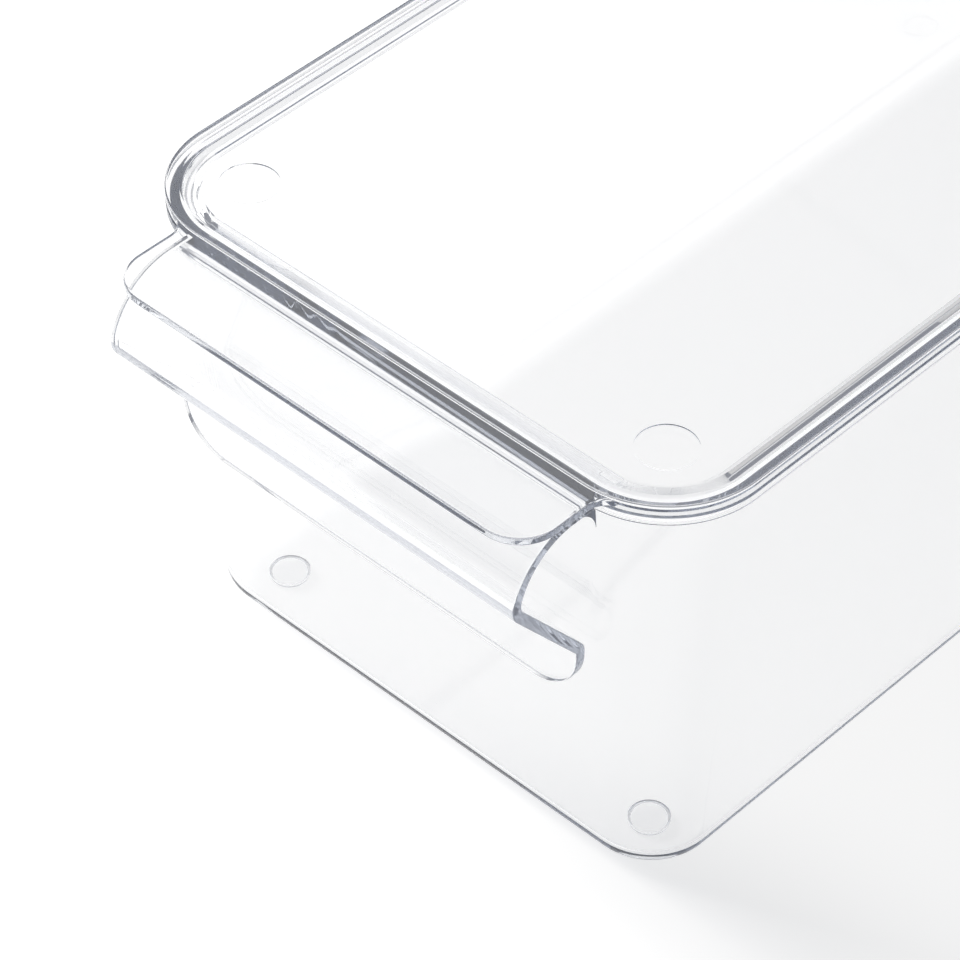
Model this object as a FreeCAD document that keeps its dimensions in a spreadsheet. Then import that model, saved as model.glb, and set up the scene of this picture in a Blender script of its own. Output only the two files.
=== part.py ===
import FreeCAD, Part
import math
import os

import Sketcher

# A clear moulded storage box with a lift-off lid, a curled front handle and four stick-on feet.
# Millimetres, +Z up. The box stands on the plane Z = 0 with its front, where the handle is, to -Y.
# The origin is the middle of the whole footprint: the bin's middle lies half the handle's reach behind.

SIZES = [
    ("box_length", 310.0, "lid and rim, front to back, without tab and handle"),
    ("box_width", 160.0, "lid and rim, side to side"),
    ("rim_corner_radius", 24.5, "plan radius of the lid and rim corners"),
    ("bin_height", 114.4, "underside of the base to the top of the bin's rim"),
    ("base_inset", 9.0, "how far the base outline lies inside the rim outline"),
    ("base_edge_radius", 5.2, "outside round between base and walls"),
    ("floor_edge_radius", 2.9, "inside round between floor and walls"),
    ("wall_thickness", 2.3, "side walls, measured level"),
    ("floor_thickness", 2.4, "base plate"),
    ("rim_overhang", 0.9, "rim flange beyond the wall"),
    ("rim_thickness", 2.4, "rim flange"),
    ("handle_width", 117.0, "handle, side to side"),
    ("handle_reach", 23.2, "nose of the handle in front of the rim"),
    ("handle_thickness", 2.6, "handle sheet"),
    ("handle_curl_radius", 18.0, "outside radius where the handle turns down from the rim"),
    ("handle_nose_radius", 6.0, "outside radius of the handle's nose"),
    ("handle_nose_drop", 14.7, "centre of the nose below the rim"),
    ("handle_return_angle", 51.0, "slope of the returning lip below level, degrees"),
    ("handle_bend_radius", 4.0, "outside radius of the bend from the lip to the skirt"),
    ("handle_skirt_reach", 4.0, "skirt's front face in front of the rim"),
    ("handle_drop", 54.7, "lower edge of the skirt below the rim"),
    ("handle_corner_radius", 12.5, "rounded lower corners of the skirt"),
    ("handle_under_radius", 6.5, "fillet between the handle and the front wall"),
    ("lid_gap", 0.3, "lid above the rim when closed"),
    ("lid_thickness", 2.8, "lid edge"),
    ("lid_rim_width", 3.2, "flat rim around the lid's panel"),
    ("lid_slope_width", 3.1, "slope from the rim down to the panel"),
    ("lid_recess", 0.8, "panel below the rim"),
    ("lid_edge_round", 0.4, "round on the lid's upper outer edge"),
    ("rib_depth", 4.0, "locating rib below the lid"),
    ("rib_thickness", 1.0, "locating rib at its lower edge"),
    ("rib_lean", 3.2, "lean of the rib's inner face, from its lower edge to the lid"),
    ("rib_clearance", 0.5, "rib to the inside of the bin"),
    ("tab_width", 120.0, "lift tab, side to side"),
    ("tab_reach", 22.4, "lift tab in front of the lid"),
    ("tab_step", 0.65, "lift tab's top below the lid's rim"),
    ("tab_corner_radius", 10.0, "front corners of the tab"),
    ("tab_root_radius", 5.0, "fillet where the tab leaves the lid"),
    ("seat_diameter", 13.6, "round stacking seats in the lid"),
    ("seat_depth", 0.3, "stacking seats"),
    ("seat_inset", 20.0, "stacking seat centres from the lid's edges"),
    ("foot_diameter", 9.5, "round foot pads"),
    ("foot_height", 2.1, "foot pad, top to bottom"),
    ("foot_stand", 1.6, "base above the table"),
    ("foot_edge_round", 1.4, "round on the lower edge of a foot pad"),
    ("foot_inset", 15.4, "foot centres from the base outline"),
    ("foot_bond", 0.1, "bond line round a foot pad in its socket"),
]

doc = FreeCAD.newDocument("StorageBox")
sheet = doc.addObject("Spreadsheet::Sheet", "Sizes")
for row, (alias, value, meaning) in enumerate(SIZES, start=1):
    sheet.set("A%d" % row, meaning)
    sheet.set("B%d" % row, str(value))
    sheet.setAlias("B%d" % row, alias)
doc.recompute()
ALIASES = [alias for alias, value, meaning in SIZES]

# Heights and outlines that several pieces share, as expressions over the sheet.
BASE_Z = "foot_stand"
FLOOR_Z = "foot_stand + floor_thickness"
RIM_Z = "foot_stand + bin_height"
LID_Z = "foot_stand + bin_height + lid_gap"
LID_TOP_Z = "foot_stand + bin_height + lid_gap + lid_thickness"
PANEL_Z = "foot_stand + bin_height + lid_gap + lid_thickness - lid_recess"
FRONT_Y = "0 - box_length / 2"
WALL_WIDTH = "box_width - 2 * rim_overhang"
WALL_LENGTH = "box_length - 2 * rim_overhang"
WALL_RADIUS = "rim_corner_radius - rim_overhang"
MOUTH_INSET = "( rim_overhang + wall_thickness )"
RIB_INSET = "( rim_overhang + wall_thickness + rib_clearance )"
DRAFT = "atan( ( base_inset - rim_overhang ) / bin_height ) / 1 deg"


def named(text):
    """The expression with every size name pointing at the sheet."""
    return " ".join("Sizes." + word if word in ALIASES else word for word in text.split())


def number(text):
    """The expression's value, for drawing a sketch close to its solved shape."""
    return float(sheet.evalExpression(named(text)))


def new_body(label, place_x="0", place_y="0"):
    """A piece of its own, placed from the middle of the bin."""
    body = doc.addObject("PartDesign::Body", label)
    body.Label = label
    body.setExpression("Placement.Base.x", named(place_x))
    body.setExpression("Placement.Base.y", named(place_y + " + handle_reach / 2"))
    return body


def new_sketch(body, name, role, height="0"):
    """A sketch on one of the body's own planes, raised along the plane's normal."""
    plane = next(item for item in body.Origin.OriginFeatures if item.Role == role)
    sketch = body.newObject("Sketcher::SketchObject", name)
    sketch.AttachmentSupport = [(plane, "")]
    sketch.MapMode = "FlatFace"
    sketch.setExpression("AttachmentOffset.Base.z", named(height))
    return sketch


def relate(sketch, *words):
    sketch.addConstraint(Sketcher.Constraint(*words))


def measure(sketch, name, text, *words):
    """A dimension of the sketch that follows an expression over the sheet."""
    value = number(text)
    if words[0] == "Angle":
        value = math.radians(value)
    index = sketch.addConstraint(Sketcher.Constraint(*words, value))
    sketch.renameConstraint(index, name)
    sketch.setExpression("Constraints." + name, named(text))


def rounded_rectangle(sketch, width, length, radius, prefix="outline"):
    """Four corner arcs and four lines about the sketch's origin."""
    corner = number(radius)
    reach_x = number(width) / 2 - corner
    reach_y = number(length) / 2 - corner
    first = sketch.GeometryCount
    signs = [(1, 1), (-1, 1), (-1, -1), (1, -1)]
    centres = [FreeCAD.Vector(sx * reach_x, sy * reach_y, 0) for sx, sy in signs]
    up = FreeCAD.Vector(0, 0, 1)
    for turn, centre in enumerate(centres):
        start = turn * math.pi / 2
        end = start + math.pi / 2
        sketch.addGeometry(Part.ArcOfCircle(Part.Circle(centre, up, corner), start, end), False)
        leave = FreeCAD.Vector(math.cos(end), math.sin(end), 0) * corner
        following = centres[(turn + 1) % len(centres)]
        sketch.addGeometry(Part.LineSegment(centre + leave, following + leave), False)
    total = 2 * len(signs)
    for step in range(total):
        relate(sketch, "Tangent", first + step, 2, first + (step + 1) % total, 1)
    back, left, front, right = (first + step for step in range(1, total, 2))
    relate(sketch, "Horizontal", back)
    relate(sketch, "Horizontal", front)
    relate(sketch, "Vertical", left)
    relate(sketch, "Vertical", right)
    for step in range(2, total, 2):
        relate(sketch, "Equal", first, first + step)
    relate(sketch, "Symmetric", first, 3, first + len(signs), 3, -1, 1)
    measure(sketch, prefix + "_radius", radius, "Radius", first)
    measure(sketch, prefix + "_width", width, "DistanceX", left, 1, right, 1)
    measure(sketch, prefix + "_length", length, "DistanceY", front, 1, back, 1)


def outline(body, name, height, width, length, radius):
    sketch = new_sketch(body, name, "XY_Plane", height)
    rounded_rectangle(sketch, width, length, radius)
    return sketch


def four_circles(sketch, diameter, place_x, place_y):
    """One circle in each quarter, all of one size, at the same distances from both axes."""
    up = FreeCAD.Vector(0, 0, 1)
    for index, (sx, sy) in enumerate([(1, 1), (-1, 1), (-1, -1), (1, -1)]):
        centre = FreeCAD.Vector(sx * number(place_x), sy * number(place_y), 0)
        sketch.addGeometry(Part.Circle(centre, up, number(diameter) / 2), False)
        across = (-1, 1, index, 3) if sx > 0 else (index, 3, -1, 1)
        along = (-1, 1, index, 3) if sy > 0 else (index, 3, -1, 1)
        measure(sketch, "across_%d" % index, place_x, "DistanceX", *across)
        measure(sketch, "along_%d" % index, place_y, "DistanceY", *along)
        if index:
            relate(sketch, "Equal", 0, index)
    measure(sketch, "diameter", diameter, "Diameter", 0)


def add_feature(body, kind, name, sketch, length, reverse=False, narrowing="0"):
    """A pad or pocket of one sketch, which may narrow by an angle in degrees."""
    feature = body.newObject("PartDesign::" + kind, name)
    feature.Profile = sketch
    feature.setExpression("Length", named(length))
    feature.setExpression("TaperAngle", named("0 - " + narrowing))
    feature.Reversed = reverse
    doc.recompute()
    return feature


def round_edges(body, name, radius, chosen):
    """A fillet on those edges of the body so far whose direction and middle point pass a test."""
    base = body.Tip
    edges = []
    for index, edge in enumerate(base.Shape.Edges, start=1):
        middle = edge.valueAt((edge.FirstParameter + edge.LastParameter) / 2)
        if chosen(edge, middle):
            edges.append("Edge%d" % index)
    if not edges:
        raise RuntimeError(name + " finds no edge")
    feature = body.newObject("PartDesign::Fillet", name)
    feature.Base = (base, edges)
    feature.setExpression("Radius", named(radius))
    doc.recompute()
    return feature


NEAR_SHARE = 0.0001
NEAR = NEAR_SHARE * number("box_width")


def is_near(value, text):
    return abs(value - number(text)) < NEAR


def is_upright(edge):
    return is_near(abs(edge.Vertexes[0].Z - edge.Vertexes[-1].Z), "%r" % edge.Length)


def is_level_at(edge, text):
    return all(is_near(vertex.Z, text) for vertex in edge.Vertexes)


def handle_profile(body):
    """Side view of the handle: level root, wide curl, tight nose, sloping lip, upright skirt."""
    sketch = new_sketch(body, "HandleProfile", "YZ_Plane")
    top = number(RIM_Z)
    thickness = number("handle_thickness")
    curl_radius = number("handle_curl_radius")
    nose_radius = number("handle_nose_radius")
    bend_radius = number("handle_bend_radius")
    slope = math.radians(number("handle_return_angle"))
    draft = math.radians(number(DRAFT))
    under = number("handle_under_radius")
    wall_front = -number(WALL_LENGTH) / 2
    root_y = wall_front + number("wall_thickness") / 2
    up = FreeCAD.Vector(0, 0, 1)
    nose_middle = FreeCAD.Vector(nose_radius - number("box_length / 2 + handle_reach"),
                                 top - number("handle_nose_drop"), 0)
    rise = nose_middle.y - (top - curl_radius)
    run = math.sqrt((curl_radius - nose_radius) ** 2 - rise ** 2)
    curl_middle = FreeCAD.Vector(nose_middle.x + run, top - curl_radius, 0)
    curl_end = math.pi - math.atan2(rise, run)
    nose_end = math.pi * 3 / 2 - slope
    outward = FreeCAD.Vector(math.cos(nose_end), math.sin(nose_end), 0)
    skirt_y = -number("box_length / 2 + handle_skirt_reach")
    tip_z = top - number("handle_drop")
    bend_y = skirt_y - (bend_radius - thickness)
    clear = bend_radius - thickness + nose_radius
    bend_z = nose_middle.y + (clear - (bend_y - nose_middle.x) * outward.x) / outward.y
    bend_middle = FreeCAD.Vector(bend_y, bend_z, 0)
    bend_end = nose_end - math.pi
    under_z = top - thickness - under
    wall_there = wall_front + (top - under_z) * math.tan(draft)
    under_middle = FreeCAD.Vector(wall_there - under / math.cos(draft), under_z, 0)
    meeting = under_middle + FreeCAD.Vector(math.cos(draft), math.sin(draft), 0) * under
    root_top = FreeCAD.Vector(root_y, top, 0)
    root_low = FreeCAD.Vector(root_y, meeting.y, 0)
    front_tip = FreeCAD.Vector(skirt_y, tip_z, 0)
    back_tip = FreeCAD.Vector(skirt_y + thickness, tip_z, 0)

    def arc(middle, radius, start, end):
        return Part.ArcOfCircle(Part.Circle(middle, up, radius), start, end)

    def line(start, end):
        return Part.LineSegment(start, end)

    pieces = [
        line(root_top, FreeCAD.Vector(curl_middle.x, top, 0)),
        arc(curl_middle, curl_radius, math.pi / 2, curl_end),
        arc(nose_middle, nose_radius, curl_end, nose_end),
        line(nose_middle + outward * nose_radius, bend_middle - outward * (bend_radius - thickness)),
        arc(bend_middle, bend_radius - thickness, 0, bend_end),
        line(FreeCAD.Vector(skirt_y, bend_z, 0), front_tip),
        line(front_tip, back_tip),
        line(back_tip, FreeCAD.Vector(skirt_y + thickness, bend_z, 0)),
        arc(bend_middle, bend_radius, 0, bend_end),
        line(bend_middle - outward * bend_radius, nose_middle + outward * (nose_radius - thickness)),
        arc(nose_middle, nose_radius - thickness, curl_end, nose_end),
        arc(curl_middle, curl_radius - thickness, math.pi / 2, curl_end),
        line(FreeCAD.Vector(curl_middle.x, top - thickness, 0),
             FreeCAD.Vector(under_middle.x, top - thickness, 0)),
        arc(under_middle, under, draft, math.pi / 2),
        line(meeting, root_low),
        line(root_low, root_top),
    ]
    for piece in pieces:
        sketch.addGeometry(piece, False)
    wall_line = sketch.addGeometry(line(meeting, FreeCAD.Vector(wall_front, top, 0)), True)
    root, curl, nose, lip, valley, skirt, tip, skirt_back = range(8)
    ridge, lip_back, nose_hollow, curl_hollow, under_line, gusset, sill, closing = range(8, 16)
    for level in (root, tip, under_line, sill):
        relate(sketch, "Horizontal", level)
    for upright in (skirt, skirt_back, closing):
        relate(sketch, "Vertical", upright)
    smooth_joints = [
        (root, 2, curl, 1), (curl, 2, nose, 1), (nose, 2, lip, 1), (lip, 2, valley, 2),
        (valley, 1, skirt, 1), (skirt_back, 2, ridge, 1), (ridge, 2, lip_back, 1),
        (lip_back, 2, nose_hollow, 2), (nose_hollow, 1, curl_hollow, 2), (curl_hollow, 1, under_line, 1),
        (under_line, 2, gusset, 2), (gusset, 1, wall_line, 1),
    ]
    for joint in smooth_joints:
        relate(sketch, "Tangent", *joint)
    corners = [
        (skirt, 2, tip, 1), (tip, 2, skirt_back, 1), (gusset, 1, sill, 1), (sill, 2, closing, 1),
        (closing, 2, root, 1), (curl, 3, curl_hollow, 3), (nose, 3, nose_hollow, 3), (valley, 3, ridge, 3),
    ]
    for corner in corners:
        relate(sketch, "Coincident", *corner)
    measure(sketch, "curl_radius", "handle_curl_radius", "Radius", curl)
    measure(sketch, "curl_hollow_radius", "handle_curl_radius - handle_thickness", "Radius", curl_hollow)
    measure(sketch, "nose_radius", "handle_nose_radius", "Radius", nose)
    measure(sketch, "valley_radius", "handle_bend_radius - handle_thickness", "Radius", valley)
    measure(sketch, "ridge_radius", "handle_bend_radius", "Radius", ridge)
    measure(sketch, "under_radius", "handle_under_radius", "Radius", gusset)
    measure(sketch, "lip_slope", "0 - handle_return_angle", "Angle", lip)
    measure(sketch, "rim_height", RIM_Z, "DistanceY", -1, 1, root, 1)
    measure(sketch, "nose_height", RIM_Z + " - handle_nose_drop", "DistanceY", -1, 1, nose, 3)
    measure(sketch, "tip_height", RIM_Z + " - handle_drop", "DistanceY", -1, 1, tip, 1)
    measure(sketch, "nose_place", "box_length / 2 + handle_reach - handle_nose_radius",
            "DistanceX", nose, 3, -1, 1)
    measure(sketch, "skirt_place", "box_length / 2 + handle_skirt_reach", "DistanceX", tip, 1, -1, 1)
    measure(sketch, "root_place", "box_length / 2 - rim_overhang - wall_thickness / 2",
            "DistanceX", root, 1, -1, 1)
    measure(sketch, "wall_place", "box_length / 2 - rim_overhang", "DistanceX", wall_line, 2, -1, 1)
    measure(sketch, "wall_height", RIM_Z, "DistanceY", -1, 1, wall_line, 2)
    measure(sketch, "wall_slope", "90 + " + DRAFT, "Angle", wall_line)
    return sketch


def make_bin():
    """The moulded bin: drafted walls, rim flange, curled handle, and sockets for the feet."""
    body = new_body("storage_bin")
    wall = outline(body, "WallOutline", RIM_Z, WALL_WIDTH, WALL_LENGTH, WALL_RADIUS)
    add_feature(body, "Pad", "Block", wall, "bin_height", reverse=True, narrowing=DRAFT)
    round_edges(body, "BaseRound", "base_edge_radius", lambda edge, middle: is_level_at(edge, BASE_Z))
    rim = outline(body, "RimOutline", RIM_Z, "box_width", "box_length", "rim_corner_radius")
    add_feature(body, "Pad", "Rim", rim, "rim_thickness", reverse=True)
    handle = add_feature(body, "Pad", "Handle", handle_profile(body), "handle_width")
    handle.Midplane = True
    doc.recompute()

    def is_skirt_corner(edge, middle):
        at_end = is_near(abs(middle.x), "handle_width / 2")
        return at_end and is_level_at(edge, RIM_Z + " - handle_drop")

    round_edges(body, "SkirtCorners", "handle_corner_radius", is_skirt_corner)
    mouth = outline(body, "CavityMouth", RIM_Z, "box_width - 2 * " + MOUTH_INSET,
                    "box_length - 2 * " + MOUTH_INSET, "rim_corner_radius - " + MOUTH_INSET)
    add_feature(body, "Pocket", "Cavity", mouth, "bin_height - floor_thickness", narrowing=DRAFT)
    round_edges(body, "FloorRound", "floor_edge_radius", lambda edge, middle: is_level_at(edge, FLOOR_Z))
    sockets = new_sketch(body, "FootSockets", "XY_Plane", BASE_Z)
    four_circles(sockets, "foot_diameter + 2 * foot_bond", "box_width / 2 - base_inset - foot_inset",
                 "box_length / 2 - base_inset - foot_inset")
    add_feature(body, "Pocket", "Sockets", sockets, "foot_height - foot_stand + foot_bond", reverse=True)
    return body


def make_lid():
    """The lift-off lid: flat rim, slightly sunk panel, lift tab, locating rib and stacking seats."""
    body = new_body("lid")
    plate = outline(body, "PlateOutline", LID_Z, "box_width", "box_length", "rim_corner_radius")
    add_feature(body, "Pad", "Plate", plate, "lid_thickness")
    tab = outline(body, "TabOutline", LID_Z, "tab_width", "2 * tab_reach", "tab_corner_radius")
    tab.setExpression("AttachmentOffset.Base.y", named(FRONT_Y))
    add_feature(body, "Pad", "Tab", tab, "lid_thickness - tab_step")

    def is_tab_root(edge, middle):
        at_side = is_near(abs(middle.x), "tab_width / 2")
        return at_side and is_upright(edge) and middle.y > number(FRONT_Y + " - tab_root_radius")

    round_edges(body, "TabRoot", "tab_root_radius", is_tab_root)
    round_edges(body, "RimRound", "lid_edge_round", lambda edge, middle: is_level_at(edge, LID_TOP_Z))
    brink = outline(body, "RecessBrink", LID_TOP_Z, "box_width - 2 * lid_rim_width",
                    "box_length - 2 * lid_rim_width", "rim_corner_radius - lid_rim_width")
    slope = "atan( lid_slope_width / lid_recess ) / 1 deg"
    add_feature(body, "Pocket", "Recess", brink, "lid_recess", narrowing=slope)
    rib = outline(body, "RibOutline", LID_Z, "box_width - 2 * " + RIB_INSET, "box_length - 2 * " + RIB_INSET,
                  "rim_corner_radius - " + RIB_INSET)
    add_feature(body, "Pad", "Rib", rib, "rib_depth", reverse=True)
    inner = "( rim_overhang + wall_thickness + rib_clearance + rib_thickness )"
    hollow = outline(body, "RibHollow", LID_Z + " - rib_depth", "box_width - 2 * " + inner,
                     "box_length - 2 * " + inner, "rim_corner_radius - " + inner)
    lean = "atan( rib_lean / rib_depth ) / 1 deg"
    add_feature(body, "Pocket", "Hollow", hollow, "rib_depth", reverse=True, narrowing=lean)
    seats = new_sketch(body, "SeatCircles", "XY_Plane", PANEL_Z)
    four_circles(seats, "seat_diameter", "box_width / 2 - seat_inset", "box_length / 2 - seat_inset")
    add_feature(body, "Pocket", "Seats", seats, "seat_depth")
    return body


def make_foot(label, side, end):
    """A round soft pad, bonded into its socket under the base."""
    body = new_body(label, "%d * ( box_width / 2 - base_inset - foot_inset )" % side,
                    "%d * ( box_length / 2 - base_inset - foot_inset )" % end)
    circle = new_sketch(body, label + "_circle", "XY_Plane")
    up = FreeCAD.Vector(0, 0, 1)
    circle.addGeometry(Part.Circle(FreeCAD.Vector(0, 0, 0), up, number("foot_diameter") / 2), False)
    relate(circle, "Coincident", 0, 3, -1, 1)
    measure(circle, "diameter", "foot_diameter", "Diameter", 0)
    add_feature(body, "Pad", label + "_pad", circle, "foot_height")
    round_edges(body, label + "_round", "foot_edge_round", lambda edge, middle: is_level_at(edge, "0"))
    return body


bodies = [make_bin(), make_lid()]
for end, end_name in ((-1, "front"), (1, "rear")):
    for side, side_name in ((-1, "left"), (1, "right")):
        bodies.append(make_foot("foot_%s_%s" % (end_name, side_name), side, end))
doc.recompute()

for item in doc.Objects:
    if "Invalid" in item.State or "Error" in item.State:
        raise RuntimeError("%s failed: %s" % (item.Name, item.State))
os.makedirs("parts", exist_ok=True)
for body in bodies:
    shape = body.Shape
    if shape.isNull() or not shape.isValid() or len(shape.Solids) != 1:
        raise RuntimeError(body.Label + " is not one valid solid")
    shape.exportStep("parts/%s.step" % body.Label)
    box = shape.BoundBox
    extent = (box.XLength, box.YLength, box.ZLength)
    print(body.Label, "volume %.1f" % shape.Volume, "box %.1f x %.1f x %.1f" % extent)
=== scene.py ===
import math
import bpy
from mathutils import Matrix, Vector


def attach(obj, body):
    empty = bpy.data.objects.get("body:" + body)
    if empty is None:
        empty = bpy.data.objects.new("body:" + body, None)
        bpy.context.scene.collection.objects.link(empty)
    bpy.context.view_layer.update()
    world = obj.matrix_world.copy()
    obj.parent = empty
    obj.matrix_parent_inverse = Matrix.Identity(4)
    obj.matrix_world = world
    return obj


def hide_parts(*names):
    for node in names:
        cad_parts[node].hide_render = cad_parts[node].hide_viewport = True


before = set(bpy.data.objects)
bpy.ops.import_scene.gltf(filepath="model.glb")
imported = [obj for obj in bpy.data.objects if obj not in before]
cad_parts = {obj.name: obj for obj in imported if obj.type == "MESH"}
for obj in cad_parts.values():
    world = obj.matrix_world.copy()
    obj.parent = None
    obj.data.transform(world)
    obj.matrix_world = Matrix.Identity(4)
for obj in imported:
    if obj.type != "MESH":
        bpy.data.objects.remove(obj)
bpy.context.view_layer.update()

# The bin: one injection moulding in clear acrylic, with drafted walls, round corners and a thin rim.
# It is polished inside and out, so only its edges and rounds show. Lengths below are millimetres.
MM = 0.001
MIDDLE_Y = 11.6
BOX_WIDTH = 160.0
BOX_LENGTH = 310.0
RIM_RADIUS = 24.5
CORNER_STEPS = 28
RIM_TOP = 116.0
RIM_THICKNESS = 2.4
OVERHANG = 0.9
WALL = 2.3
BASE_Z = 1.6
BASE_INSET = 9.0
BASE_ROUND = 5.2
FLOOR_Z = 4.0
FLOOR_ROUND = 2.9
EDGE_ROUND = 0.4
LOWER_ROUND = 0.3
MOUTH_DRAFT = 4
SIDE_DRAFT = 0.02
UNDERCUT_WIDTH = 0.1
UNDERCUT_HEIGHT = 0.15
SMOOTH_LIMIT = math.radians(32)
DRAFT_SHARE = (BASE_INSET - OVERHANG) / (RIM_TOP - BASE_Z)
DRAFT = math.atan(DRAFT_SHARE)


def rounded_face(name, height, downward=False):
    """A level face with the box's rounded outline, left selected in edit mode."""
    bpy.ops.object.select_all(action="DESELECT")
    bpy.ops.mesh.primitive_plane_add(size=1)
    piece = bpy.context.object
    piece.name = name
    bpy.ops.object.mode_set(mode="EDIT")
    bpy.ops.mesh.select_all(action="SELECT")
    bpy.ops.transform.resize(value=(BOX_WIDTH * MM, BOX_LENGTH * MM, 1))
    bpy.ops.mesh.bevel(offset=RIM_RADIUS * MM, segments=CORNER_STEPS, affect="VERTICES")
    bpy.ops.mesh.select_mode(type="FACE")
    bpy.ops.mesh.select_all(action="SELECT")
    bpy.ops.transform.translate(value=(0, MIDDLE_Y * MM, height * MM))
    if downward:
        bpy.ops.mesh.flip_normals()
    return piece


def follow(profile, downward=False):
    """Carry the selected face through (inset, height) pairs, one inset or extrusion for each."""
    upright = 0.000001
    for (inset_a, height_a), (inset_b, height_b) in zip(profile, profile[1:]):
        rise = (height_b - height_a) * MM
        if inset_b - inset_a < upright:
            bpy.ops.mesh.extrude_region_move(TRANSFORM_OT_translate={"value": (0, 0, rise)})
        else:
            depth = -rise if downward else rise
            bpy.ops.mesh.inset(thickness=(inset_b - inset_a) * MM, depth=depth, use_even_offset=True)
    bpy.ops.object.mode_set(mode="OBJECT")


def arc(middle, radius, start, end, steps):
    """Points of a round in a profile, between two angles in degrees."""
    points = []
    for step in range(steps + 1):
        angle = math.radians(start + (end - start) * step / steps)
        points.append((middle[0] + radius * math.cos(angle), middle[1] + radius * math.sin(angle)))
    return points


def close_up(seam=0.0):
    """Leave edit mode with seams merged, where a distance is given, and normals facing out."""
    bpy.ops.mesh.select_all(action="SELECT")
    if seam:
        bpy.ops.mesh.remove_doubles(threshold=seam)
    bpy.ops.mesh.normals_make_consistent(inside=False)
    bpy.ops.object.mode_set(mode="OBJECT")


def select_only(piece):
    """Make one piece the only selected and active one."""
    bpy.ops.object.select_all(action="DESELECT")
    piece.select_set(True)
    bpy.context.view_layer.objects.active = piece


def join_halves(upper, lower):
    """Two meshes made one, with the vertices of their shared edge merged."""
    select_only(upper)
    lower.select_set(True)
    bpy.ops.object.join()
    bpy.ops.object.mode_set(mode="EDIT")
    close_up(seam=0.01 * MM)


def use_modifier(piece, kind, **settings):
    """One modifier, set and applied."""
    select_only(piece)
    modifier = piece.modifiers.new(kind.lower(), kind)
    for key, value in settings.items():
        setattr(modifier, key, value)
    bpy.ops.object.modifier_apply(modifier=modifier.name)


def combine(piece, tool, operation):
    """A Boolean with another mesh, which is used up."""
    use_modifier(piece, "BOOLEAN", operation=operation, solver="EXACT", object=tool)
    bpy.data.objects.remove(tool, do_unlink=True)


def smooth(piece):
    """Smooth shading up to an angle, with flat faces kept flat beside their rounds."""
    select_only(piece)
    bpy.ops.object.shade_smooth_by_angle(angle=SMOOTH_LIMIT)
    use_modifier(piece, "WEIGHTED_NORMAL", weight=80, keep_sharp=True)


start_z = RIM_TOP - EDGE_ROUND
mouth = OVERHANG + WALL
floor_round_z = FLOOR_Z + FLOOR_ROUND
floor_round_inset = (mouth + (RIM_TOP - FLOOR_Z - FLOOR_ROUND) * DRAFT_SHARE
                     + FLOOR_ROUND / math.cos(DRAFT))
wall_turn = 180 + math.degrees(DRAFT)
inside_profile = [
    *arc((EDGE_ROUND, start_z), EDGE_ROUND, 180, 90, steps=5),
    *arc((mouth - EDGE_ROUND, start_z), EDGE_ROUND, 90, MOUTH_DRAFT, steps=5),
    *arc((floor_round_inset, floor_round_z), FLOOR_ROUND, wall_turn, 270, steps=10),
]
rim_low = RIM_TOP - RIM_THICKNESS
base_round_z = BASE_Z + BASE_ROUND
base_round_inset = (OVERHANG + (RIM_TOP - BASE_Z - BASE_ROUND) * DRAFT_SHARE
                    + BASE_ROUND / math.cos(DRAFT))
outside_profile = [
    (0, start_z),
    *arc((LOWER_ROUND + SIDE_DRAFT, rim_low + LOWER_ROUND), LOWER_ROUND, 180, 270, steps=4),
    (OVERHANG + RIM_THICKNESS * DRAFT_SHARE - UNDERCUT_WIDTH, rim_low),
    (OVERHANG + (RIM_THICKNESS + UNDERCUT_HEIGHT) * DRAFT_SHARE, rim_low - UNDERCUT_HEIGHT),
    *arc((base_round_inset, base_round_z), BASE_ROUND, wall_turn, 270, steps=12),
]
bin_piece = rounded_face("bin_moulding", start_z)
follow(inside_profile)
bin_outside = rounded_face("bin_outside", start_z, downward=True)
follow(outside_profile, downward=True)
join_halves(bin_piece, bin_outside)

# The handle: a wide sheet of the same moulding. It leaves the rim level, curls down to a nose, slopes
# back towards the wall and ends in a short upright skirt with round lower corners. Its edges are barely
# broken, and a fillet the full width of the sheet joins its underside to the front wall.
HANDLE_WIDTH = 117.0
REACH = 23.2
SHEET = 2.6
CURL_RADIUS = 18.0
NOSE_RADIUS = 6.0
NOSE_DROP = 14.7
RETURN_ANGLE = 51.0
BEND_RADIUS = 4.0
SKIRT_REACH = 4.0
SKIRT_CORNER = 12.5
HANDLE_DROP = 54.7
HANDLE_SOFTENING = 0.35
UNDER_RADIUS = 6.5
FILLET_INSET = 0.6
FILLET_COVER = 1.0
SHARP_LIMIT = math.radians(50)
NEAR = 0.01
SEAM = 0.000005

front_y = MIDDLE_Y - BOX_LENGTH / 2
root_y = front_y + OVERHANG + WALL / 2
nose_y = front_y - REACH + NOSE_RADIUS
nose_z = RIM_TOP - NOSE_DROP
curl_z = RIM_TOP - CURL_RADIUS
curl_run = math.sqrt((CURL_RADIUS - NOSE_RADIUS) ** 2 - (nose_z - curl_z) ** 2)
curl_y = nose_y + curl_run
curl_turn = math.pi / 2 - math.atan2(nose_z - curl_z, curl_run)
nose_turn = math.pi - math.radians(RETURN_ANGLE) - curl_turn
lip_slope = math.radians(RETURN_ANGLE)
skirt_y = front_y - SKIRT_REACH
bend_y = skirt_y - (BEND_RADIUS - SHEET)
lip_across = BEND_RADIUS - SHEET + NOSE_RADIUS
lip_length = (bend_y - nose_y + lip_across * math.sin(lip_slope)) / math.cos(lip_slope)
bend_z = nose_z - lip_length * math.sin(lip_slope) - lip_across * math.cos(lip_slope)
tip_z = RIM_TOP - HANDLE_DROP


def push(*way):
    """Extrude the selected part along a direction in millimetres."""
    bpy.ops.mesh.extrude_region_move(TRANSFORM_OT_translate={"value": Vector(way) * MM})


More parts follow.
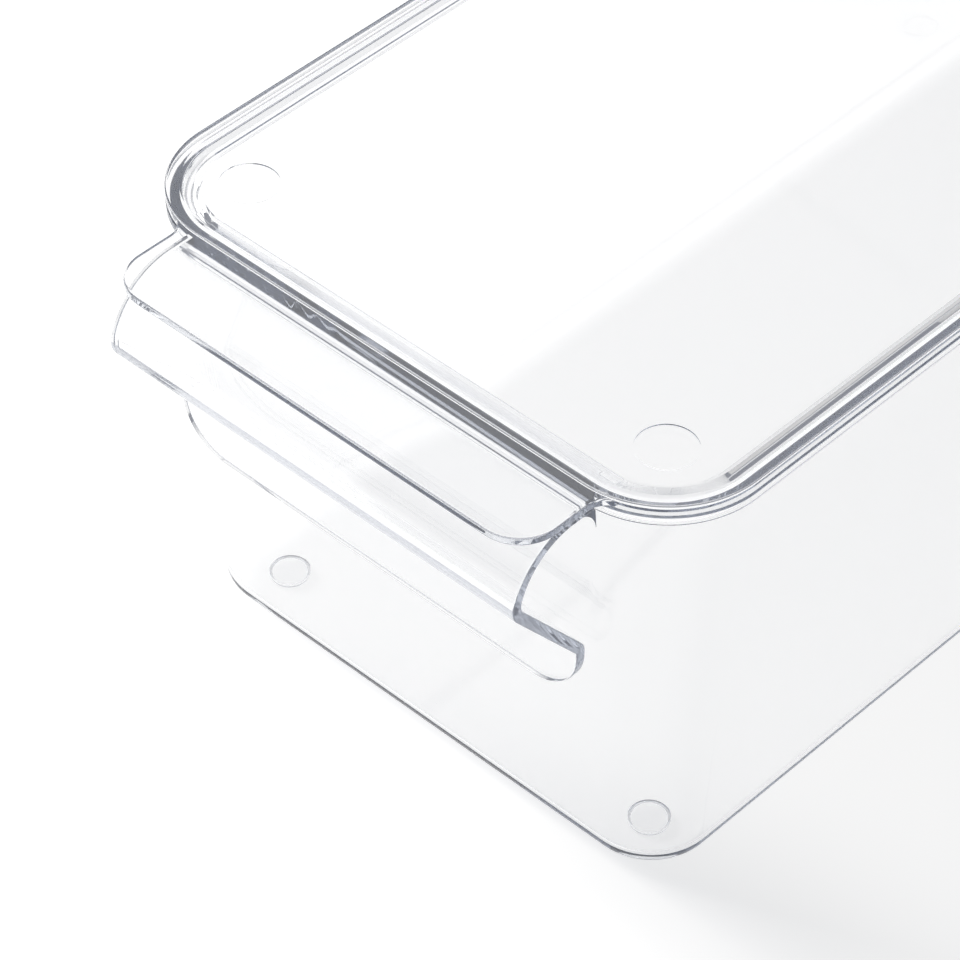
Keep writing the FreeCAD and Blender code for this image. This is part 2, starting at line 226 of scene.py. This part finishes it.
def sweep(middle, axis, angle, steps):
    """Carry the selected part round an axis through a point in millimetres."""
    bpy.ops.mesh.spin(steps=steps, angle=-angle, center=Vector(middle) * MM, axis=axis,
                      use_auto_merge=False)


def pick_edges(piece, test):
    """Select only the edges whose two ends pass a test in millimetres, in edit mode."""
    bpy.ops.mesh.select_mode(type="EDGE")
    bpy.ops.mesh.select_all(action="DESELECT")
    bpy.ops.object.mode_set(mode="OBJECT")
    for edge in piece.data.edges:
        ends = [piece.data.vertices[index].co / MM for index in edge.vertices]
        edge.select = test(*ends)
    bpy.ops.object.mode_set(mode="EDIT")


def trace(name, first, steps):
    """An outline drawn by one vertex, pushed along lines and swept round arcs, then filled."""
    bpy.ops.object.select_all(action="DESELECT")
    bpy.ops.mesh.primitive_plane_add(size=1)
    piece = bpy.context.object
    piece.name = name
    bpy.ops.object.mode_set(mode="EDIT")
    bpy.ops.mesh.select_mode(type="VERT")
    bpy.ops.mesh.select_all(action="SELECT")
    bpy.ops.mesh.merge(type="CENTER")
    bpy.ops.transform.translate(value=Vector(first) * MM)
    for kind, *values in steps:
        if kind == "line":
            push(*values)
        else:
            middle, axis, angle, count = values
            sweep(middle, axis, math.radians(angle), count)
    bpy.ops.mesh.select_all(action="SELECT")
    bpy.ops.mesh.remove_doubles(threshold=SEAM)
    bpy.ops.mesh.edge_face_add()
    bpy.ops.mesh.select_mode(type="FACE")
    bpy.ops.mesh.select_all(action="SELECT")
    return piece


def across_tip(a, b):
    """Whether an edge runs through the thickness of the skirt at its lower end."""
    return abs(a.z - tip_z) < NEAR and abs(b.z - tip_z) < NEAR and abs(a.x - b.x) < NEAR


ACROSS = (1, 0, 0)
bpy.ops.object.select_all(action="DESELECT")
bpy.ops.mesh.primitive_plane_add(size=1, rotation=(math.pi / 2, 0, 0))
handle = bpy.context.object
handle.name = "handle_sheet"
bpy.ops.object.transform_apply(location=False, rotation=True, scale=False)
bpy.ops.object.mode_set(mode="EDIT")
bpy.ops.mesh.select_mode(type="FACE")
bpy.ops.mesh.select_all(action="SELECT")
bpy.ops.transform.resize(value=(HANDLE_WIDTH * MM, 1, SHEET * MM))
bpy.ops.transform.translate(value=(0, root_y * MM, (RIM_TOP - SHEET / 2) * MM))
push(0, curl_y - root_y, 0)
sweep((0, curl_y, curl_z), ACROSS, curl_turn, steps=24)
sweep((0, nose_y, nose_z), ACROSS, nose_turn, steps=18)
push(0, lip_length * math.cos(lip_slope), -lip_length * math.sin(lip_slope))
sweep((0, bend_y, bend_z), ACROSS, lip_slope - math.pi / 2, steps=10)
push(0, 0, tip_z - bend_z)
pick_edges(handle, across_tip)
bpy.ops.mesh.bevel(offset=SKIRT_CORNER * MM, segments=22, affect="EDGES")
close_up()
use_modifier(handle, "BEVEL", width=HANDLE_SOFTENING * MM, segments=3,
             limit_method="ANGLE", angle_limit=SHARP_LIMIT)

under_z = RIM_TOP - SHEET - UNDER_RADIUS
under_y = front_y + OVERHANG + (RIM_TOP - under_z) * DRAFT_SHARE - UNDER_RADIUS / math.cos(DRAFT)
fillet_end_y = under_y + UNDER_RADIUS * math.cos(DRAFT)
fillet_end_z = under_z + UNDER_RADIUS * math.sin(DRAFT)
fillet_width = HANDLE_WIDTH - 2 * FILLET_INSET
fillet = trace("handle_fillet", (-fillet_width / 2, root_y, fillet_end_z), [
    ("line", 0, 0, RIM_TOP - FILLET_COVER - fillet_end_z),
    ("line", 0, under_y - root_y, 0),
    ("line", 0, 0, FILLET_COVER - SHEET),
    ("arc", (0, under_y, under_z), ACROSS, math.degrees(DRAFT) - 90, 12),
    ("line", 0, root_y - fillet_end_y, 0),
])
push(fillet_width, 0, 0)
close_up()
combine(handle, fillet, "UNION")
combine(bin_piece, handle, "UNION")

# The pad sockets: four shallow round recesses in the underside of the base, moulded with the bin. Each
# takes one foot pad with a thin bond all round it. The whole bin then gets its one material.
FOOT_DIAMETER = 9.5
FOOT_HEIGHT = 2.1
FOOT_BOND = 0.1
FOOT_INSET = 15.4
CUT_CLEAR = 1
foot_x = BOX_WIDTH / 2 - BASE_INSET - FOOT_INSET
foot_y = BOX_LENGTH / 2 - BASE_INSET - FOOT_INSET
foot_places = {
    "foot_front_left": (-foot_x, MIDDLE_Y - foot_y),
    "foot_front_right": (foot_x, MIDDLE_Y - foot_y),
    "foot_rear_left": (-foot_x, MIDDLE_Y + foot_y),
    "foot_rear_right": (foot_x, MIDDLE_Y + foot_y),
}


def drum(name, diameter, low, high, place):
    """A plain round cutter, standing upright."""
    bpy.ops.object.select_all(action="DESELECT")
    middle = Vector((place[0], place[1], (low + high) / 2)) * MM
    bpy.ops.mesh.primitive_cylinder_add(vertices=64, radius=diameter / 2 * MM, depth=(high - low) * MM,
                                        location=middle)
    cutter = bpy.context.object
    cutter.name = name
    bpy.ops.object.transform_apply(location=True, rotation=True, scale=True)
    return cutter


def shade(code):
    """A colour given as sRGB hex, in the linear values that nodes take."""
    parts = [int(code[place:place + 2], 16) / 255 for place in (1, 3, 5)]
    linear = [part / 12.92 if part <= 0.04045 else ((part + 0.055) / 1.055) ** 2.4 for part in parts]
    return (*linear, 1.0)


def node(tree, kind, links=(), **settings):
    """One node with its settings, and (its input, other node, other output) links."""
    made = tree.nodes.new(kind)
    for key, value in settings.items():
        if hasattr(made, key):
            setattr(made, key, value)
        else:
            made.inputs[key.replace("_", " ")].default_value = value
    for own, other, out in links:
        tree.links.new(other.outputs[out], made.inputs[own])
    return made


def clear_material(name, ior, tint, density, painted_glow, ripple_mm, ripple_depth, haze):
    """Clear moulded plastic: flow ripples, a trace of haze, a tint, and a painted glow in its depth."""
    haze_patch = 9.0
    passed_by_face = "#f9f9f9"
    # Painted glow: the colour of the faint light that the plastic's bulk gives out of its own.
    glow_colour = "#ffffff"
    material = bpy.data.materials.new(name)
    material.use_nodes = True
    tree = material.node_tree
    tree.nodes.clear()
    place = node(tree, "ShaderNodeTexCoord")
    ripple = node(tree, "ShaderNodeTexNoise", [("Vector", place, "Object")],
                  Scale=1 / (ripple_mm * MM), Detail=1.5, Roughness=0.4)
    bump = node(tree, "ShaderNodeBump", [("Height", ripple, "Fac")],
                Strength=1.0, Distance=ripple_depth * MM)
    patches = node(tree, "ShaderNodeTexNoise", [("Vector", place, "Object")],
                   Scale=1 / (haze_patch * MM), Detail=4.0)
    rough = node(tree, "ShaderNodeMapRange", [("Value", patches, "Fac")],
                 From_Min=0.45, From_Max=0.8, To_Min=haze[0], To_Max=haze[1])
    plastic = node(tree, "ShaderNodeBsdfPrincipled",
                   [("Roughness", rough, "Result"), ("Normal", bump, "Normal")],
                   IOR=ior, Base_Color=shade("#ffffff"), Transmission_Weight=1.0)
    passing = node(tree, "ShaderNodeBsdfTransparent", Color=shade(passed_by_face))
    path = node(tree, "ShaderNodeLightPath")
    mixed = node(tree, "ShaderNodeMixShader",
                 [(0, path, "Is Shadow Ray"), (1, plastic, "BSDF"), (2, passing, "BSDF")])
    depth = node(tree, "ShaderNodeVolumeAbsorption", Color=shade(tint), Density=density)
    # Painted glow: an emission inside the plastic that stands in for scattered light.
    bulk_glow = node(tree, "ShaderNodeEmission", Color=shade(glow_colour), Strength=painted_glow)
    inside = node(tree, "ShaderNodeAddShader", [(0, depth, "Volume"), (1, bulk_glow, "Emission")])
    node(tree, "ShaderNodeOutputMaterial", [("Surface", mixed, "Shader"), ("Volume", inside, "Shader")])
    return material


socket_top = FOOT_HEIGHT + FOOT_BOND
for place in foot_places.values():
    socket = drum("socket_cutter", FOOT_DIAMETER + 2 * FOOT_BOND, BASE_Z - CUT_CLEAR, socket_top, place)
    combine(bin_piece, socket, "DIFFERENCE")
smooth(bin_piece)

# Clear acrylic: index 1.49, mirror-smooth, with a cool grey-blue that shows only along the sheet. Its
# bulk gives out a faint painted glow that stands in for the light it would scatter, and keeps light
# trapped in the sheet from ending as black.
acrylic = clear_material("clear_acrylic", ior=1.49, tint="#adb5c4", density=11.0, painted_glow=0.45,
                         ripple_mm=80.0, ripple_depth=0.0003, haze=(0.0, 0.012))
bin_piece.data.materials.clear()
bin_piece.data.materials.append(acrylic)
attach(bin_piece, "bin")
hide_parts("storage_bin")

# The foot pads: four small round drops of soft clear plastic, stuck into the sockets under the base.
# Their lower edge is well rounded, and they are a little cloudier than the bin.
FOOT_ROUND = 1.4
PAD_SOFTENING = 0.2
UPRIGHT = (0, 0, 1)
INWARD = (0, -1, 0)

# Soft clear plastic, such as polyurethane: index 1.45, faintly rippled and hazy.
pad_plastic = clear_material("clear_soft_plastic", ior=1.45, tint="#c3cad6", density=30.0, painted_glow=0.0,
                             ripple_mm=3.0, ripple_depth=0.01, haze=(0.02, 0.08))
pad_radius = FOOT_DIAMETER / 2
for name, place in foot_places.items():
    low_round = (place[0] + pad_radius - FOOT_ROUND, place[1], FOOT_ROUND)
    top_round = (place[0] + pad_radius - PAD_SOFTENING, place[1], FOOT_HEIGHT - PAD_SOFTENING)
    pad = trace(name + "_pad", (*place, 0), [
        ("line", pad_radius - FOOT_ROUND, 0, 0),
        ("arc", low_round, INWARD, 90, 8),
        ("line", 0, 0, FOOT_HEIGHT - FOOT_ROUND - PAD_SOFTENING),
        ("arc", top_round, INWARD, 90, 4),
        ("line", PAD_SOFTENING - pad_radius, 0, 0),
    ])
    bpy.ops.mesh.delete(type="ONLY_FACE")
    bpy.ops.mesh.select_mode(type="EDGE")
    pick_edges(pad, lambda a, b: abs(a.x - place[0]) > NEAR or abs(b.x - place[0]) > NEAR)
    bpy.ops.mesh.select_all(action="INVERT")
    bpy.ops.mesh.delete(type="EDGE")
    bpy.ops.mesh.select_all(action="SELECT")
    sweep((*place, 0), UPRIGHT, -2 * math.pi, steps=64)
    close_up(seam=SEAM)
    smooth(pad)
    pad.data.materials.clear()
    pad.data.materials.append(pad_plastic)
    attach(pad, "bin")
    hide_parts(name)

# The lid: a flat clear moulding with a raised rim, a sunk panel, and a rib underneath that drops into
# the bin. The rib's outer face is upright, and its inner face leans in towards the middle as it rises.
LID_LOW = 116.3
LID_TOP = 119.1
LID_EDGE = 0.4
LID_RIM = 3.2
LID_SLOPE = 3.1
LID_RECESS = 0.8
SLOPE_ROUND = 0.25
SLOPE_ROUND_SHIFT = 0.03
RIB_CLEARANCE = 0.5
RIB_INSET = OVERHANG + WALL + RIB_CLEARANCE
RIB_THICKNESS = 1.0
RIB_LEAN = 3.2
RIB_DEPTH = 4.0
RIB_ROUND = 0.4

lid_start = LID_TOP - LID_EDGE
panel_z = LID_TOP - LID_RECESS
rib_low = LID_LOW - RIB_DEPTH
slope_angle = math.degrees(math.atan2(LID_RECESS, LID_SLOPE))
slope_top = (LID_RIM - SLOPE_ROUND_SHIFT, LID_TOP - SLOPE_ROUND)
slope_foot = (LID_RIM + LID_SLOPE + SLOPE_ROUND_SHIFT, panel_z + SLOPE_ROUND)
top_profile = [
    *arc((LID_EDGE, lid_start), LID_EDGE, 180, 90, steps=5),
    *arc(slope_top, SLOPE_ROUND, 90, 90 - slope_angle, steps=3),
    *arc(slope_foot, SLOPE_ROUND, 270 - slope_angle, 270, steps=3),
]
low_profile = [
    (0, lid_start),
    *arc((LOWER_ROUND + SIDE_DRAFT, LID_LOW + LOWER_ROUND), LOWER_ROUND, 180, 270, steps=4),
    (RIB_INSET, LID_LOW),
    *arc((RIB_INSET + RIB_ROUND, rib_low + RIB_ROUND), RIB_ROUND, 180, 270, steps=4),
    (RIB_INSET + RIB_THICKNESS, rib_low),
    (RIB_INSET + RIB_THICKNESS + RIB_LEAN, LID_LOW),
]
lid_piece = rounded_face("lid_moulding", lid_start)
follow(top_profile)
lid_under = rounded_face("lid_under", lid_start, downward=True)
follow(low_profile, downward=True)
join_halves(lid_piece, lid_under)

# The lift tab: a broad tongue of the lid's own sheet that stands out at the front over the handle.
# It has round front corners and small root fillets, and all its edges are softly rounded.
TAB_WIDTH = 120.0
TAB_REACH = 22.4
TAB_DROP = 0.65
TAB_LIFT = 0.02
TAB_CORNER = 10.0
TAB_ROOT = 5.0
TAB_ROUND = 0.8
TAB_BURIED = 6.0

half_tab = TAB_WIDTH / 2
tab_top = LID_TOP - TAB_DROP
tab_low = LID_LOW + TAB_LIFT
corner_x = BOX_WIDTH / 2 - RIM_RADIUS
corner_y = front_y + RIM_RADIUS
root_x = half_tab + TAB_ROOT
root_low_y = corner_y - math.sqrt((RIM_RADIUS + TAB_ROOT) ** 2 - (root_x - corner_x) ** 2)
root_turn = 90 - math.degrees(math.atan2(root_x - corner_x, corner_y - root_low_y))
flare = math.radians(root_turn)
flare_x = half_tab + TAB_ROOT * (1 - math.cos(flare))
flare_y = root_low_y + TAB_ROOT * math.sin(flare)
tab_front = front_y - TAB_REACH
corner_middle_y = tab_front + TAB_CORNER
tab = trace("lift_tab", (flare_x, flare_y, tab_low), [
    ("line", -TAB_BURIED / 2, TAB_BURIED, 0),
    ("line", TAB_BURIED - 2 * flare_x, 0, 0),
    ("line", -TAB_BURIED / 2, -TAB_BURIED, 0),
    ("arc", (-root_x, root_low_y, 0), UPRIGHT, -root_turn, 10),
    ("line", 0, corner_middle_y - root_low_y, 0),
    ("arc", (TAB_CORNER - half_tab, corner_middle_y, 0), UPRIGHT, 90, 16),
    ("line", TAB_WIDTH - 2 * TAB_CORNER, 0, 0),
    ("arc", (half_tab - TAB_CORNER, corner_middle_y, 0), UPRIGHT, 90, 16),
    ("line", 0, root_low_y - tab_front - TAB_CORNER, 0),
    ("arc", (root_x, root_low_y, 0), UPRIGHT, -root_turn, 10),
])
push(0, 0, tab_top - tab_low)
close_up()
use_modifier(tab, "BEVEL", width=TAB_ROUND * MM, segments=5,
             limit_method="ANGLE", angle_limit=SHARP_LIMIT)
combine(lid_piece, tab, "UNION")

# The seats: four very shallow round recesses moulded into the lid's panel near its corners. They are the
# last cut, after which the whole lid gets the bin's acrylic.
SEAT_DIAMETER = 13.6
SEAT_DEPTH = 0.3
SEAT_INSET = 20.0

seat_x = BOX_WIDTH / 2 - SEAT_INSET
seat_y = BOX_LENGTH / 2 - SEAT_INSET
for side in (-1, 1):
    for end in (-1, 1):
        seat = drum("seat_cutter", SEAT_DIAMETER, panel_z - SEAT_DEPTH, panel_z + CUT_CLEAR,
                    (side * seat_x, MIDDLE_Y + end * seat_y))
        combine(lid_piece, seat, "DIFFERENCE")
smooth(lid_piece)
lid_piece.data.materials.clear()
lid_piece.data.materials.append(acrylic)
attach(lid_piece, "lid")
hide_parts("lid")

# The studio: a wide white paper floor that gives out part of its own light, under a sky that goes from
# grey near the horizon to white overhead. A soft square lamp at the front left gives the rest of the
# floor's light, and with it the weak shadow to the right of the base.
FLOOR_WIDTH = 6
FLOOR_DROP = 0.1
FLOOR_GLOW = 0.42
LAMP_PLACE = (-3.0, -0.9, 3.0)
LAMP_WIDTH = 1.3
LAMP_POWER = 228.0
PAPER_WHITE = "#e7e7e7"
SKY_GREY = "#797c86"
FULL_WHITE = "#ffffff"
SKY_GREY_END = 0.25
SKY_WHITE_START = 0.70
BOUNCES_IN_SHEET = 256
FACES_IN_SHADOW = 40

bpy.ops.object.select_all(action="DESELECT")
bpy.ops.mesh.primitive_plane_add(size=FLOOR_WIDTH, location=(0, 0, -FLOOR_DROP * MM))
ground = bpy.context.object
ground.name = "studio_floor"
# White paper: fully matt, with the glow that stands in for the light bounced round the room.
paper = bpy.data.materials.new("white_paper")
paper.use_nodes = True
paper_node = paper.node_tree.nodes["Principled BSDF"]
paper_node.inputs["Base Color"].default_value = shade(PAPER_WHITE)
paper_node.inputs["Roughness"].default_value = 1.0
paper_node.inputs["Specular IOR Level"].default_value = 0.0
paper_node.inputs["Emission Color"].default_value = shade(FULL_WHITE)
paper_node.inputs["Emission Strength"].default_value = FLOOR_GLOW
ground.data.materials.append(paper)

scene = bpy.context.scene
lamp = bpy.data.objects.new("soft_lamp", bpy.data.lights.new("soft_lamp", "AREA"))
scene.collection.objects.link(lamp)
lamp.data.shape = "RECTANGLE"
lamp.data.size = LAMP_WIDTH
lamp.data.size_y = LAMP_WIDTH
lamp.data.energy = LAMP_POWER
lamp.data.cycles.use_multiple_importance_sampling = False
lamp.location = LAMP_PLACE
lamp.rotation_euler = (-lamp.location).to_track_quat("-Z", "Y").to_euler()

world = bpy.data.worlds.new("studio_sky")
scene.world = world
world.use_nodes = True
sky = world.node_tree
sky.nodes.clear()
way = node(sky, "ShaderNodeTexCoord")
split = node(sky, "ShaderNodeSeparateXYZ", [("Vector", way, "Generated")])
ramp = node(sky, "ShaderNodeValToRGB", [("Fac", split, "Z")])
grey_end, white_start = ramp.color_ramp.elements
grey_end.position = SKY_GREY_END
grey_end.color = shade(SKY_GREY)
white_start.position = SKY_WHITE_START
white_start.color = shade(FULL_WHITE)
seen = node(sky, "ShaderNodeBackground", [("Color", ramp, "Color")])
plain = node(sky, "ShaderNodeBackground", Color=shade(FULL_WHITE))
path = node(sky, "ShaderNodeLightPath")
final = node(sky, "ShaderNodeMixShader",
             [(0, path, "Is Camera Ray"), (1, seen, "Background"), (2, plain, "Background")])
node(sky, "ShaderNodeOutputWorld", [("Surface", final, "Shader")])
world.cycles_visibility.diffuse = False

scene.view_settings.view_transform = "Standard"
scene.cycles.max_bounces = BOUNCES_IN_SHEET
scene.cycles.glossy_bounces = BOUNCES_IN_SHEET
scene.cycles.transmission_bounces = BOUNCES_IN_SHEET
scene.cycles.transparent_max_bounces = FACES_IN_SHADOW
scene.cycles.caustics_reflective = False
scene.cycles.caustics_refractive = False

# The camera: a long lens at the photograph's angle, looking down on the front right corner. The far end
# of the box runs out of the frame, and all that is in it is sharp.
EYE = Vector((0.4654, -0.6024, 0.7016))
AIM = Vector((0.0245, -0.1404, 0.0976))
LENS = 160.46
SENSOR_WIDTH = 36
camera = bpy.data.objects.new("camera", bpy.data.cameras.new("camera"))
scene.collection.objects.link(camera)
camera.data.lens = LENS
camera.data.sensor_width = SENSOR_WIDTH
camera.location = EYE
camera.rotation_euler = (AIM - EYE).to_track_quat("-Z", "Y").to_euler()
scene.camera = camera
